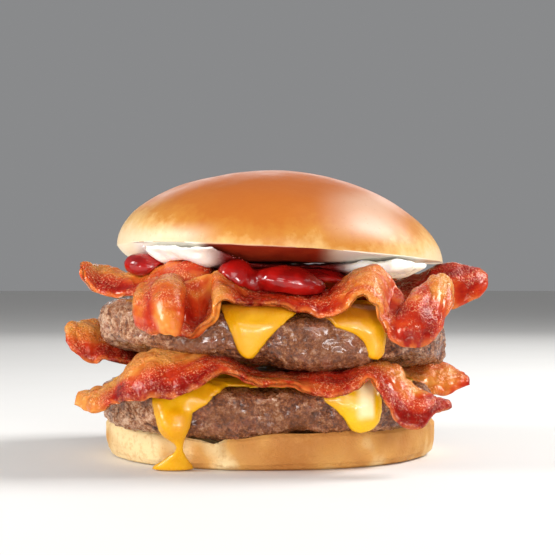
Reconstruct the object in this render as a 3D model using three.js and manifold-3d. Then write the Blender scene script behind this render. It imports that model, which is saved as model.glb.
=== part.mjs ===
// A double cheeseburger with bacon: a domed crown and a low heel of soft bun, two squarish beef patties,
// a melted cheese slice on each patty, three wavy bacon strips on each slice, ketchup and mayonnaise.
// Millimetres, +Z up. The origin is the middle of the heel's flat underside, and -Y is the front.
import * as THREE from "three";
import { mergeVertices } from "three/addons/utils/BufferGeometryUtils.js";
import Module from "manifold-3d";

const wasm = await Module();
wasm.setup();

// Driving dimensions

const GAP = 0.35; // clearance between neighbouring pieces
const DETAIL = 0.13; // surface detail smaller than this is left out of the finished solids

// The crown leans to the right, so its widest line is higher on the left.
const CROWN = {
  x: 3.2,
  y: 0,
  radius: 55,
  top: 95.2,
  under: 63.8, // height of the flat part of the underside
  rim: 66.6, // mean height of the widest line
  lean: 3.1, // how much higher it is on the left, and lower on the right
  frontLift: 1.6, // how much higher it is in front
};

const HEEL = {
  radius: 55.5,
  depthScale: 0.955, // the heel is a little shorter from front to back
  foot: 0.925, // radius of the flat foot, as a share of the heel's radius
  height: 10.4,
  rimLift: 1.1, // how much higher the rim is in front and at the sides than the middle
  dip: { x: -17, width: 14, depth: 2.4 }, // where the lower patty presses the front rim down
};

// A swell raises or lowers a patty's underside round a point.
const LOWER_PATTY = {
  x: -2,
  y: 0,
  halfX: 53.2,
  halfY: 52.6,
  bottom: 10.6,
  top: 25.4,
  turn: 2, // degrees round Z
  slope: 0,
  flare: 0.03, // the top is wider than the bottom by this share
  seed: 3,
  swells: [
    { x: -17, y: -55, width: 14, height: -3.4 },
    { x: 36, y: -50, width: 16, height: 0.5 },
  ],
};

const UPPER_PATTY = {
  x: 1,
  y: 0,
  halfX: 56,
  halfY: 53.4,
  bottom: 31.3,
  top: 49,
  turn: -1.5,
  slope: -0.045,
  flare: 0,
  seed: 11,
  swells: [
    { x: -44, y: -38, width: 24, height: 4 },
    { x: -10, y: -58, width: 14, height: 2.6 },
    { x: 14, y: -58, width: 12, height: -2 },
    { x: 46, y: -50, width: 17, height: 5.2 },
  ],
};

// How square a patty's edge is in section: with both exponents at 1 it would be an ellipse.
const PATTY_EDGE = { across: 0.2, up: 0.44 };

const CHEESE = 2.3; // thickness of a melted slice
const CHEESE_EDGE = 5.5; // radius at which a slice bends over the patty's edge
const SLICE_INSET = 4; // how far a slice ends from the patty's edge

const BACON = 2.2; // thickness of a strip
const STRIP_WIDTH = 12; // usual distance between a strip's rails
const STRIP_STEPS = 3; // rings of faces between two stations of a strip
const STRIP_ACROSS = 3; // faces across a strip

// Where a slice has melted down the side: the direction in degrees, half widths to the left and to the
// right at the patty's edge, the length below that edge, the tip's half width and sideways shift, and two
// exponents that set how hollow the left and the right outlines are.
const UPPER_LOBES = [
  { angle: 262.6, left: 11, right: 16, drop: 9.8, tip: 3, shift: -0.4, hollowLeft: 0.4, hollowRight: 0.5 },
  { angle: 300.3, left: 14, right: 6, drop: 8.4, tip: 3, shift: 0.4, hollowLeft: 1.6, hollowRight: 0.8 },
  { angle: 75, left: 13, right: 12, drop: 9, tip: 3, shift: 1, hollowLeft: 1, hollowRight: 1.3 },
  { angle: 118, left: 11, right: 12, drop: 6, tip: 3, shift: -1, hollowLeft: 1.3, hollowRight: 0.9 },
  { angle: 12, left: 10, right: 12, drop: 4, tip: 3, shift: 0, hollowLeft: 0.8, hollowRight: 1.3 },
];
const LOWER_LOBES = [
  { angle: 242.8, left: 8, right: 14, drop: 11, tip: 4.6, shift: 0, hollowLeft: 0.3, hollowRight: 1.6 },
  { angle: 301.4, left: 14, right: 5.4, drop: 8.4, tip: 4.8, shift: 0.4, hollowLeft: 0.6, hollowRight: 0.3 },
  { angle: 66, left: 13, right: 14, drop: 7, tip: 3, shift: 0, hollowLeft: 1.2, hollowRight: 1 },
  { angle: 112, left: 11, right: 12, drop: 10, tip: 3, shift: 1, hollowLeft: 1.2, hollowRight: 0.9 },
];

// The long run of the lower slice as [height, radius, x, y]: it thins to a neck in front of the heel and ends
// in a small pool on the table.
const RUN = [
  [20.5, 0, -28, -53],
  [19, 4.4, -28.1, -53.4],
  [16.6, 5, -28.3, -53.9],
  [14.4, 4.6, -28.3, -54.4],
  [12.6, 3.7, -28.1, -54.7],
  [11, 2.6, -27.8, -54.8],
  [9.4, 1.8, -27.3, -54.5],
  [7.8, 1.4, -27.1, -54],
  [6.4, 1.6, -27.2, -53.2],
  [4.6, 2.9, -27.9, -51.8],
  [2.8, 4.6, -28.7, -50.2],
  [1.1, 6.4, -29.3, -48.8],
  [0.1, 7, -29.5, -48.2],
  [0.1, 0, -29.5, -48.2],
];

// A bacon strip is a surface between two rails, thickened. Each station holds a point of the outer rail,
// which is the edge that shows, a point of the inner rail, and how far the middle stands out between them.
const UPPER_FRONT = [
  [-41, -48, 46.5, -40.5, -44, 54.5, 0.5],
  [-38, -54, 42, -37.5, -44, 57.5, 3],
  [-29, -65, 41.5, -30, -45, 59, 6],
  [-25.8, -63.5, 41.6, -26.8, -46, 57.5, 0.5],
  [-21.5, -64, 42.2, -23, -46, 59, -5],
  [-16.4, -63.5, 46.5, -19, -45, 60.4, -3.5],
  [-14, -61, 51.5, -15.6, -43, 61, 1],
  [-6.5, -56, 50.5, -6.5, -40, 58, -0.5],
  [3, -56, 50.3, 3, -38, 55.3, 0.6],
  [18.5, -60, 47, 19, -38, 54, 2.5],
  [27.5, -60, 53, 30, -42, 63, 1],
  [31, -61, 50.5, 36, -42, 60.5, 1],
  [34.2, -62, 45.5, 39.5, -44, 56.5, -1.5],
  [35.2, -63.5, 40, 41.5, -48, 52.5, 3],
  [42, -65, 37.6, 45, -46, 54.5, 6],
  [49, -61, 40, 49, -43, 58, 4],
  [54, -52, 48, 54, -40, 59.5, 1.5],
  [56, -46, 52.5, 56.5, -42, 55.5, 0],
];
const UPPER_MIDDLE = [
  [-61, -26, 61.5, -61.5, -22, 63.5, 0],
  [-58.5, -28, 57, -59, -20, 63, 0.5],
  [-54, -29, 53.2, -55, -16, 62.5, 1.5],
  [-40.5, -36, 53, -41, -26, 59.5, 1],
  [-30, -45, 56, -30, -35, 63.8, 1],
  [-22, -45, 56, -22, -36, 64, 2],
  [-14, -37, 54.6, -14, -20, 60, 0],
  [4, -24, 53.6, 4, 2, 55, 0],
  [28, -20, 52.6, 28, 4, 54.5, 0],
  [44, -20, 51.4, 44, -4, 58, 0.5],
  [57, -20, 48.2, 57, -9, 63.4, 3],
  [66.5, -18, 51.2, 67.5, -9, 62.5, 2],
  [72, -12, 56.8, 72, -11, 58.8, 0],
];
const LOWER_FRONT = [
  [-61, -34, 18.8, -60.5, -32, 22, 0.3],
  [-54, -43, 16.8, -55, -34, 23.4, 1.5],
  [-47, -51, 20.5, -47, -38, 26.6, 0.8],
  [-36, -60, 22.4, -38, -42, 36, 3],
  [-24, -64, 24.2, -26, -42, 35.8, 3.2],
  [-14, -61, 31, -14.5, -44, 34, 1],
  [-6, -59, 27.2, -6, -41, 30, 0.4],
  [6, -59.5, 26.6, 6, -38, 28.4, 0.8],
  [18, -61, 22.8, 18.5, -40, 29.6, 2.8],
  [25.5, -61, 25.2, 27, -40, 30.4, 2.2],
  [29.2, -60, 28.6, 32, -42, 33.5, 0.5],
  [33, -62, 23.5, 39, -48, 32, 1],
  [37.5, -64, 16, 43, -51, 26.5, 2],
  [44, -63, 14.2, 47, -52, 24, 2.5],
  [49.5, -59, 18, 50.5, -52, 22, 1],
  [55, -56, 20, 55, -54, 21.4, 0.2],
];
const LOWER_MIDDLE = [
  [-67, -14, 38.5, -67.5, -10, 41, 0.3],
  [-64.5, -16, 34.4, -65.5, -7, 43.8, 1.5],
  [-59, -17, 30.8, -59.5, -3, 44.6, 2.5],
  [-52, -17, 32, -52, 1, 39, 1.2],
  [-40, -17, 30.2, -40, 8, 32, 0],
  [-18, -15, 30.4, -18, 10, 31, 0],
  [8, -15, 30.2, 8, 10, 30.4, 0],
  [32, -19, 30, 32, 6, 31.2, 0],
  [44.5, -22, 25.4, 46, -3, 31, 1],
  [54, -21, 20.4, 55, -7, 30.6, 2],
  [61, -17.5, 22, 62, -9.5, 27.6, 1.2],
  [66, -13, 24, 66, -12, 25.4, 0],
];

const COLOURS = { bread: 0xe0a95c, crust: 0xd28a40, beef: 0x75503f, cheese: 0xf3b81f, bacon: 0xb5361d };
const SAUCE_COLOURS = { ketchup: 0xa3161a, mayonnaise: 0xfaf5e8 };

// Small helpers

const lerp = (a, b, t) => a + (b - a) * t;
const clamp01 = (t) => Math.min(1, Math.max(0, t));
const smooth = (t) => clamp01(t) ** 2 * (3 - 2 * clamp01(t));
const radians = (degrees) => (degrees * Math.PI) / 180;
const bump = (t) => Math.exp(-t * t);
const turnBetween = (a, b) => Math.atan2(Math.sin(a - b), Math.cos(a - b));

// Smooth repeatable noise between -1 and 1, blended between hashed values at the corners of a unit grid.
function noise(x, y, z) {
  const hash = (i, j, k) => {
    const s = Math.sin(i * 127.1 + j * 311.7 + k * 74.7) * 43758.5453;
    return 2 * (s - Math.floor(s)) - 1;
  };
  const [i, j, k] = [x, y, z].map(Math.floor);
  const [u, v, w] = [smooth(x - i), smooth(y - j), smooth(z - k)];
  const edge = (dj, dk) => lerp(hash(i, j + dj, k + dk), hash(i + 1, j + dj, k + dk), u);
  return lerp(lerp(edge(0, 0), edge(1, 0), v), lerp(edge(0, 1), edge(1, 1), v), w);
}

// A solid from a geometry, with the vertices that coincide merged.
function solidOf(geometry) {
  geometry.deleteAttribute("normal");
  geometry.deleteAttribute("uv");
  const merged = mergeVertices(geometry, 1e-4);
  const vertProperties = merged.attributes.position.array;
  const triVerts = new Uint32Array(merged.index.array);
  return new wasm.Manifold(new wasm.Mesh({ numProp: 3, vertProperties, triVerts }));
}

function solidFrom(positions, triangles) {
  const geometry = new THREE.BufferGeometry();
  geometry.setAttribute("position", new THREE.Float32BufferAttribute(positions, 3));
  geometry.setIndex(triangles);
  return solidOf(geometry);
}

// A solid with its neighbours cut out of it. A cut can leave loose scraps, and only the largest body is kept.
function cut(solid, ...neighbours) {
  const left = neighbours.reduce((rest, neighbour) => rest.subtract(neighbour), solid);
  return left.decompose().reduce((a, b) => (b.volume() > a.volume() ? b : a));
}

function meshOf(name, solid, colour, roughness) {
  const { vertProperties, triVerts } = solid.simplify(DETAIL).getMesh();
  const geometry = new THREE.BufferGeometry();
  geometry.setAttribute("position", new THREE.BufferAttribute(vertProperties, 3));
  geometry.setIndex(new THREE.BufferAttribute(triVerts, 1));
  geometry.computeVertexNormals();
  const material = new THREE.MeshStandardMaterial({ color: colour, roughness, metalness: 0 });
  const mesh = new THREE.Mesh(geometry, material);
  mesh.name = name;
  return mesh;
}

// A round closed body: ring(j, theta) gives its point on ring j in the direction theta, and the first and the
// last ring are single points, on top and underneath.
function roundSolid(segments, rings, ring) {
  const positions = [...ring(0, 0)];
  for (let j = 1; j < rings; j++) {
    for (let i = 0; i < segments; i++) {
      positions.push(...ring(j, (i * 2 * Math.PI) / segments));
    }
  }
  positions.push(...ring(rings, 0));
  const last = positions.length / 3 - 1;
  const at = (j, i) => 1 + (j - 1) * segments + (i % segments);
  const triangles = [];
  for (let i = 0; i < segments; i++) {
    triangles.push(0, at(1, i), at(1, i + 1));
    for (let j = 1; j < rings - 1; j++) {
      triangles.push(at(j, i), at(j + 1, i), at(j + 1, i + 1));
      triangles.push(at(j, i), at(j + 1, i + 1), at(j, i + 1));
    }
    triangles.push(at(rings - 1, i), last, at(rings - 1, i + 1));
  }
  return solidFrom(positions, triangles);
}

// Bun

const crownRim = (theta) =>
  CROWN.rim - CROWN.lean * Math.cos(theta) + CROWN.frontLift * Math.max(0, -Math.sin(theta));

// The crown's underside at a share of its radius: flat in the middle and curving up to the rim, with a round
// corner at the sides and at the back, and a long bevel in front.
function crownUnderside(theta, share) {
  const flat = 0.72;
  const front = smooth((-Math.sin(theta) - 0.3) / 0.4);
  const climb = clamp01((share - flat) / (1 - flat));
  return lerp(CROWN.under, crownRim(theta), climb ** lerp(4, 0.9, front));
}

function crown(grow = 0) {
  const domeRings = 8;
  const underRings = 6;
  const place = (theta, share, z) => {
    const wave = 1 + 0.005 * Math.sin(3 * theta + 1);
    const radius = (CROWN.radius + grow) * share * wave;
    return [CROWN.x + radius * Math.cos(theta), CROWN.y + radius * Math.sin(theta), z];
  };
  return roundSolid(52, domeRings + underRings, (j, theta) => {
    if (j <= domeRings) {
      const share = Math.sin(((j / domeRings) * Math.PI) / 2);
      const fullness = 1.9 - 0.15 * Math.cos(theta);
      const rise = (1 - Math.min(1, share) ** fullness) ** (1 / fullness);
      return place(theta, share, lerp(crownRim(theta), CROWN.top, rise));
    }
    const share = Math.cos((((j - domeRings) / underRings) * Math.PI) / 2);
    return place(theta, share, crownUnderside(theta, share) - grow);
  });
}

// The heel's side as [share of the radius, share of the height], from the middle of its top to its foot.
function heel() {
  const side = [
    [0, 1],
    [0.7, 1],
    [0.93, 1],
    [0.982, 0.985],
    [1, 0.86],
    [1, 0.42],
    [0.987, 0.18],
    [0.96, 0.05],
    [HEEL.foot, 0],
    [0, 0],
  ];
  return roundSolid(48, side.length - 1, (j, theta) => {
    const [share, level] = side[j];
    const edge = smooth((share - 0.8) / 0.15);
    const wave = 1 + edge * (0.006 * Math.sin(2 * theta + 0.6) + 0.005 * Math.sin(5 * theta));
    const radius = HEEL.radius * share * wave;
    const x = radius * Math.cos(theta);
    const y = radius * HEEL.depthScale * Math.sin(theta);
    const raised = HEEL.rimLift * smooth(0.8 - Math.sin(theta));
    const pressed = HEEL.dip.depth * bump((x - HEEL.dip.x) / HEEL.dip.width) * smooth(-Math.sin(theta));
    return [x, y, level * (HEEL.height + edge * (raised - pressed))];
  });
}

// Patties

// The distance from a patty's middle to its edge: a square with well rounded corners.
function pattyReach(patty, theta) {
  const squareness = 3.6;
  const turned = theta - radians(patty.turn);
  const c = Math.abs(Math.cos(turned) / patty.halfX) ** squareness;
  const s = Math.abs(Math.sin(turned) / patty.halfY) ** squareness;
  return (c + s) ** (-1 / squareness);
}

// A patty's point in a direction, at an angle from its top (90 degrees) round its edge (0) to its underside.
function pattyPoint(patty, theta, tilt, grow) {
  const share = Math.max(0, Math.cos(tilt)) ** PATTY_EDGE.across;
  const level = Math.sign(Math.sin(tilt)) * Math.abs(Math.sin(tilt)) ** PATTY_EDGE.up;
  const reach = pattyReach(patty, theta) * share * (1 + patty.flare * level);
  const x = patty.x + reach * Math.cos(theta);
  const y = patty.y + reach * Math.sin(theta);
  const under = clamp01(-level);
  const swell = patty.swells.reduce((sum, s) => {
    return sum + s.height * bump(Math.hypot(x - s.x, y - s.y) / s.width);
  }, 0);
  const half = (patty.top - patty.bottom) / 2;
  const z = patty.bottom + half * (1 + level) + patty.slope * x + swell * under;
  const coarse = noise(x / 11 + patty.seed, y / 11, z / 9);
  const fine = noise(x / 5, y / 5 + patty.seed, z / 5);
  const side = smooth((share - 0.75) / 0.25);
  const out = (0.9 * coarse + 0.5 * fine) * side + grow;
  const up = 0.25 * coarse * (1 - side) + grow * level;
  return [x + out * Math.cos(theta), y + out * Math.sin(theta), z + up];
}

function pattySolid(patty, grow = 0) {
  const rings = 11;
  return roundSolid(56, rings, (j, theta) => {
    const across = (2 * j) / rings - 1;
    const tilt = (-Math.PI / 2) * Math.sign(across) * Math.abs(across) ** 1.15;
    return pattyPoint(patty, theta, tilt, grow);
  });
}

// Cheese

// A point of a slice on a patty: at a distance from its middle, measured along the patty's top, over the
// rounded edge and down the side, and at a height above that surface.
function drapedPoint(patty, theta, distance, height) {
  const flat = pattyReach(patty, theta) + GAP - CHEESE_EDGE;
  const arc = (CHEESE_EDGE * Math.PI) / 2;
  const bend = (clamp01((distance - flat) / arc) * Math.PI) / 2;
  const radius = Math.min(distance, flat) + (CHEESE_EDGE + height) * Math.sin(bend);
  const fall = Math.max(0, distance - flat - arc);
  const x = patty.x + radius * Math.cos(theta);
  const y = patty.y + radius * Math.sin(theta);
  const z = patty.top + GAP - CHEESE_EDGE + (CHEESE_EDGE + height) * Math.cos(bend) - fall;
  return [x, y, z + patty.slope * x];
}

// The whole slice ends a little short of the patty's edge.
function slice(patty, grow) {
  const topRings = 4;
  // Rings of the underside as [share of the reach, how many times the growth they sink]
  const under = [
    [1, 1],
    [0.8, 4],
    [0, 4],
  ];
  return roundSolid(38, topRings + under.length, (j, theta) => {
    const reach = pattyReach(patty, theta) - SLICE_INSET + Math.sin(5 * theta + patty.seed);
    if (j <= topRings) {
      const share = (j / topRings) ** 0.45;
      const round = Math.sqrt(1 - clamp01((share - 0.94) / 0.06) ** 2);
      const distance = reach * share + grow * share ** 8;
      return drapedPoint(patty, theta, distance, CHEESE * lerp(0.1, 1, round) + grow);
    }
    const [share, sunk] = under[j - topRings - 1];
    return drapedPoint(patty, theta, (reach + grow) * share, -sunk * grow);
  });
}

// A lobe is a plate that starts on the slice and hangs over the patty's edge, with rounded borders.
function lobe(patty, { angle, left, right, drop, tip, shift, hollowLeft, hollowRight }, grow) {
  const steps = 8;
  const across = 4;
  const middle = radians(angle);
  const reach = pattyReach(patty, middle);
  const edge = reach + GAP - CHEESE_EDGE + (CHEESE_EDGE * Math.PI) / 2;
  const overlap = 13;
  const positions = [];
  for (const face of [1, -1]) {
    for (let i = 0; i <= steps; i++) {
      const down = Math.sin(((i / steps) * Math.PI) / 2);
      const hung = clamp01((down * (overlap + drop) - overlap * 0.55) / (drop + overlap * 0.45));
      const cap = Math.sqrt(Math.max(0, 1 - down ** 12)) + grow / 2;
      const toLeft = lerp(left * (1 - hung) ** hollowLeft, tip * cap, hung) + grow;
      const toRight = lerp(right * (1 - hung) ** hollowRight, tip * cap, hung) + grow;
      for (let j = 0; j <= across; j++) {
        const side = (2 * j) / across - 1;
        const aside = shift * hung + (side < 0 ? toLeft : toRight) * side;
        const round = Math.sqrt(Math.max(0, 1 - side ** 4)) * lerp(1, 0.5, down ** 12);
        const height = face > 0 ? CHEESE * lerp(0.7, 1.15, round) + grow : -1.2 - grow;
        const distance = edge - overlap - grow + down * (overlap + drop + 2 * grow);
        positions.push(...drapedPoint(patty, middle + aside / reach, distance, height));
      }
    }
  }
  return solidFrom(positions, platedTriangles(steps, across));
}

function meltedSlice(patty, lobes, grow = 0) {
  return lobes.reduce((joined, each) => joined.add(lobe(patty, each, grow)), slice(patty, grow));
}

function cheeseRun() {
  const depth = 0.5; // depth as a share of the width
  return roundSolid(18, RUN.length - 1, (j, theta) => {
    const [z, radius, x, y] = RUN[j];
    return [x + radius * Math.cos(theta), y + radius * depth * Math.sin(theta), z];
  });
}

// Bacon

function strip(stations, grow = 0) {
  const rail = (first) => {
    const points = stations.map((s) => new THREE.Vector3(s[first], s[first + 1], s[first + 2]));
    return new THREE.CatmullRomCurve3(points, false, "catmullrom");
  };
  const outer = rail(0);
  const inner = rail(3);
  const bulgeAt = (t) => {
    const place = t * (stations.length - 1);
    const i = Math.min(stations.length - 2, Math.floor(place));
    return lerp(stations[i][6], stations[i + 1][6], smooth(place - i));
  };
  const middle = (along, across) => {
    const t = clamp01(along);
    const a = outer.getPoint(t);
    const b = inner.getPoint(t);
    const forward = outer.getTangent(t).add(inner.getTangent(t));
    const out = forward.cross(b.clone().sub(a)).normalize();
    return a.lerp(b, across).addScaledVector(out, 4 * across * (1 - across) * bulgeAt(t));
  };
  const half = BACON / 2 + grow;
  const facePoint = (t, share, side) => {
    const widened = grow / STRIP_WIDTH;
    const across = lerp(-widened, 1 + widened, share);
    const step = 0.01;
    const u = middle(t + step, across).sub(middle(t - step, across));
    const v = middle(t, across + step).sub(middle(t, across - step));
    return middle(t, across).addScaledVector(u.cross(v).normalize(), side * half);
  };
  const steps = (stations.length - 1) * STRIP_STEPS;
  const positions = [];
  for (const side of [1, -1]) {
    for (let i = 0; i <= steps; i++) {
      for (let j = 0; j <= STRIP_ACROSS; j++) {
        positions.push(...facePoint(i / steps, j / STRIP_ACROSS, side));
      }
    }
  }
  return solidFrom(positions, platedTriangles(steps, STRIP_ACROSS));
}

// The triangles of a plate: two like grids of points, one on each face, joined round the border.
function platedTriangles(steps, across) {
  const at = (face, i, j) => (face * (steps + 1) + i) * (across + 1) + j;
  const triangles = [];
  const quad = (a, b, c, d) => triangles.push(a, b, c, a, c, d);
  for (let i = 0; i < steps; i++) {
    for (let j = 0; j < across; j++) {
      quad(at(0, i, j), at(0, i + 1, j), at(0, i + 1, j + 1), at(0, i, j + 1));
      triangles.push(at(1, i, j), at(1, i + 1, j + 1), at(1, i + 1, j));
      triangles.push(at(1, i, j), at(1, i, j + 1), at(1, i + 1, j + 1));
    }
    quad(at(0, i, 0), at(1, i, 0), at(1, i + 1, 0), at(0, i + 1, 0));
    quad(at(0, i + 1, across), at(1, i + 1, across), at(1, i, across), at(0, i, across));
  }
  for (let j = 0; j < across; j++) {
    quad(at(0, 0, j + 1), at(1, 0, j + 1), at(1, 0, j), at(0, 0, j));
    quad(at(0, steps, j), at(1, steps, j), at(1, steps, j + 1), at(0, steps, j + 1));
  }
  return triangles;
}

// The stations of a strip along the back edge of a layer, with its outer edge waving in and out and drooping.
function backStations({ level, slope, reach, waves, phase, lift }) {
  const count = 11;
  return Array.from({ length: count }, (_, i) => {
    const t = i / (count - 1);
    const x = lerp(reach, -reach, t);
    const end = smooth(Math.min(t, 1 - t) * 6);
    const wave = Math.sin(waves * 2 * Math.PI * t + phase) * end;
    const droop = 6 * clamp01(0.4 - 0.8 * wave) * end;
    const z = level + slope * x;
    const crest = lift * Math.max(0, wave);
    return [x, 46 + 14 * end, z - droop + crest, 0.96 * x, 36, z + 0.6 + crest, 0.5 + droop / 2];
  });
}

// Sauces

// A sheet of sauce with a rounded rim: outline(theta) is its radius, and top and bottom give its heights.
function sauceSheet(segments, outline, top, bottom) {
  const rings = 4;
  return roundSolid(segments, 2 * rings, (j, theta) => {
    const upper = j <= rings;
    const share = (upper ? j / rings : 2 - j / rings) ** 0.6;
    const radius = outline(theta) * share;
    const round = Math.sqrt(1 - clamp01((share - 0.85) / 0.15) ** 2);
    const over = top(theta, radius);
    const below = bottom(theta, radius);
    const z = lerp((over + below) / 2, upper ? over : below, round);
    return [CROWN.x + radius * Math.cos(theta), CROWN.y + radius * Math.sin(theta), z];
  });
}

function lump({ x, y, z, size, turn = 0 }, grow) {
  const geometry = new THREE.SphereGeometry(1, 14, 8);
  geometry.scale(...size.map((half) => half + grow));
  geometry.rotateY(radians(turn));
  geometry.translate(x, y, z);
  return solidOf(geometry);
}

// Mayonnaise lies against the crown's underside and swells out over its rim at the left, at the right and
// behind.
function mayonnaise() {
  const swollen = (theta, angle, width) => bump(turnBetween(theta, radians(angle)) / radians(width));
  const bead = (theta) => {
    const left = 1.5 * swollen(theta, 233, 24);
    const right = 1.15 * swollen(theta, 319, 20);
    const back = 0.7 * swollen(theta, 98, 30);
    return Math.min(1, left + right + back);
  };
  const outline = (theta) => 24 + 34 * bead(theta) ** 0.7 + 0.5 * Math.sin(6 * theta);
  const under = (theta, radius) => crownUnderside(theta, Math.min(0.98, radius / CROWN.radius));
  const top = (theta, radius) => {
    const overRim = smooth((radius - CROWN.radius + 6) / 6);
    return under(theta, radius) - 0.7 + (4.3 - 2 * Math.cos(theta)) * overRim * bead(theta);
  };
  const bottom = (theta, radius) => {
    const rim = smooth((radius / CROWN.radius - 0.68) / 0.25);
    return under(theta, radius) - 1.7 - 3.3 * rim * bead(theta);
  };
  return sauceSheet(52, outline, top, bottom);
}

// Ketchup fills the middle of the upper layer and pushes out in smooth lumps between the bacon and the bun.
function ketchup(grow = 0) {
  const outline = (theta) => 39 + 3 * Math.sin(4 * theta + 0.7) + 2 * Math.sin(7 * theta) + grow;
  const under = (theta, radius) => 56 + UPPER_PATTY.slope * radius * Math.cos(theta) - grow;
  const pool = sauceSheet(28, outline, () => 61.4 + grow, under);
  const lumps = [
    { x: -36.5, y: -26, z: 62, size: [10.5, 8.5, 4.6], turn: 10 },
    { x: -10.5, y: -45, z: 59, size: [6, 6.5, 5.4] },
    { x: -4.5, y: -43, z: 57.4, size: [5.5, 6, 4] },
    { x: 6, y: -45.5, z: 57.5, size: [11.5, 8, 4.9], turn: 9 },
    { x: 2, y: 42, z: 58.5, size: [16, 8, 3.6] },
  ];
  return lumps.reduce((joined, each) => joined.add(lump(each, grow)), pool);
}

// Assembly

const group = new THREE.Group();
const add = (name, solid, colour, roughness) => group.add(meshOf(name, solid, colour, roughness));

const lowerPattyCutter = pattySolid(LOWER_PATTY, GAP);
const upperPattyCutter = pattySolid(UPPER_PATTY, GAP);
const heelSolid = cut(heel(), lowerPattyCutter);
add("bun_heel", heelSolid, COLOURS.bread, 0.8);
add("patty_lower", pattySolid(LOWER_PATTY), COLOURS.beef, 0.6);
add("patty_upper", pattySolid(UPPER_PATTY), COLOURS.beef, 0.6);

const lowerSlice = meltedSlice(LOWER_PATTY, LOWER_LOBES).add(cheeseRun());
add("cheese_lower", cut(lowerSlice, lowerPattyCutter, heelSolid), COLOURS.cheese, 0.3);
add("cheese_upper", cut(meltedSlice(UPPER_PATTY, UPPER_LOBES), upperPattyCutter), COLOURS.cheese, 0.3);

const strips = {
  bacon_lower_front: LOWER_FRONT,
  bacon_lower_middle: LOWER_MIDDLE,
  bacon_lower_back: backStations({ level: 30, slope: 0, reach: 52, waves: 2.2, phase: 0.6, lift: 1 }),
  bacon_upper_front: UPPER_FRONT,
  bacon_upper_middle: UPPER_MIDDLE,
  bacon_upper_back: backStations({ level: 53.8, slope: -0.045, reach: 50, waves: 2.6, phase: 2.4, lift: 6 }),
};
const lowerSliceCutter = meltedSlice(LOWER_PATTY, LOWER_LOBES, GAP);
const upperSliceCutter = meltedSlice(UPPER_PATTY, UPPER_LOBES, GAP);
const crownCutter = crown(GAP);
const cutters = [lowerPattyCutter, upperPattyCutter, lowerSliceCutter, upperSliceCutter, crownCutter];
for (const [name, stations] of Object.entries(strips)) {
  add(name, cut(strip(stations), ...cutters), COLOURS.bacon, 0.4);
  cutters.push(strip(stations, GAP));
}

add("ketchup", cut(ketchup(), ...cutters), SAUCE_COLOURS.ketchup, 0.2);
add("mayonnaise", cut(mayonnaise(), ketchup(GAP), ...cutters), SAUCE_COLOURS.mayonnaise, 0.3);
add("bun_crown", crown(), COLOURS.crust, 0.4);

export default group;
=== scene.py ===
import functools
import math

import bpy
import numpy as np
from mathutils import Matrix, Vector


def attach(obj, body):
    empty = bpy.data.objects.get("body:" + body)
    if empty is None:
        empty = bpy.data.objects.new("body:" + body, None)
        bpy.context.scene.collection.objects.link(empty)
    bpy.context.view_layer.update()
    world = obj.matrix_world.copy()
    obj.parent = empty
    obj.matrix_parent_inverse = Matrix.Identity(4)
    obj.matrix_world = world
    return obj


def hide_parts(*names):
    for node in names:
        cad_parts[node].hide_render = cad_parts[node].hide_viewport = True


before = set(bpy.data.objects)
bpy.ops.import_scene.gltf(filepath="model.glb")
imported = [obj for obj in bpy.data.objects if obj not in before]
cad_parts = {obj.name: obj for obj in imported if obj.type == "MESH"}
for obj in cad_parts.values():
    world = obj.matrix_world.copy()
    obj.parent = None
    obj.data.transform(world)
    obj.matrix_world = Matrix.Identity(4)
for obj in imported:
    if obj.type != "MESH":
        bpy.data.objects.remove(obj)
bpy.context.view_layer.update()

MM = 0.001

# Fineness of the meshes: steps in millimetres, segments round a body and rings along its outline
VOXEL = 0.62
CROWN_SEGMENTS = 300
CROWN_RINGS = (72, 26)  # above and below its widest line
HEEL_SEGMENTS = 360
HEEL_RINGS = (30, 40, 22)  # over its top, down its side and across its underside
PATTY_SEGMENTS = 560
PATTY_RINGS = 90
STRIP_STEP = 0.62
STRIP_COLUMNS = 34

# Camera: the photograph is taken level, from in front
CAMERA_X = 2.5
CAMERA_DISTANCE = 500
CAMERA_HEIGHT = 59
FOCAL_PIXELS = 1477
IMAGE_PIXELS = 555
SENSOR = 36

# Floor and light, in metres and watts: each softbox has its place, its size and its power
FLOOR_HALF = 6
LIGHT_AIM = (0, 0, 0.05)
WORLD_COLOUR = (0.93, 0.94, 0.96, 1)
WORLD_STRENGTH = 0.27
SOFTBOXES = {
    "right_box": ((0.68, 0.16, 0.68), (0.44, 0.44), 10),
    "left_box": ((-0.84, -0.22, 0.36), (0.3, 0.3), 6),
    "low_left_box": ((-0.7, -0.6, 0.05), (0.25, 0.09), 1.5),
    "back_box": ((0, 0.95, 0.42), (0.7, 0.12), 0.9),
    "front_box": ((0.1, -1.5, 0.62), (0.9, 0.5), 6),
    "low_box": ((0.1, -0.9, 0.06), (0.7, 0.08), 2.4),
    "side_box": ((0.24, -0.95, 0.12), (0.16, 0.24), 2.2),
}

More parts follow.
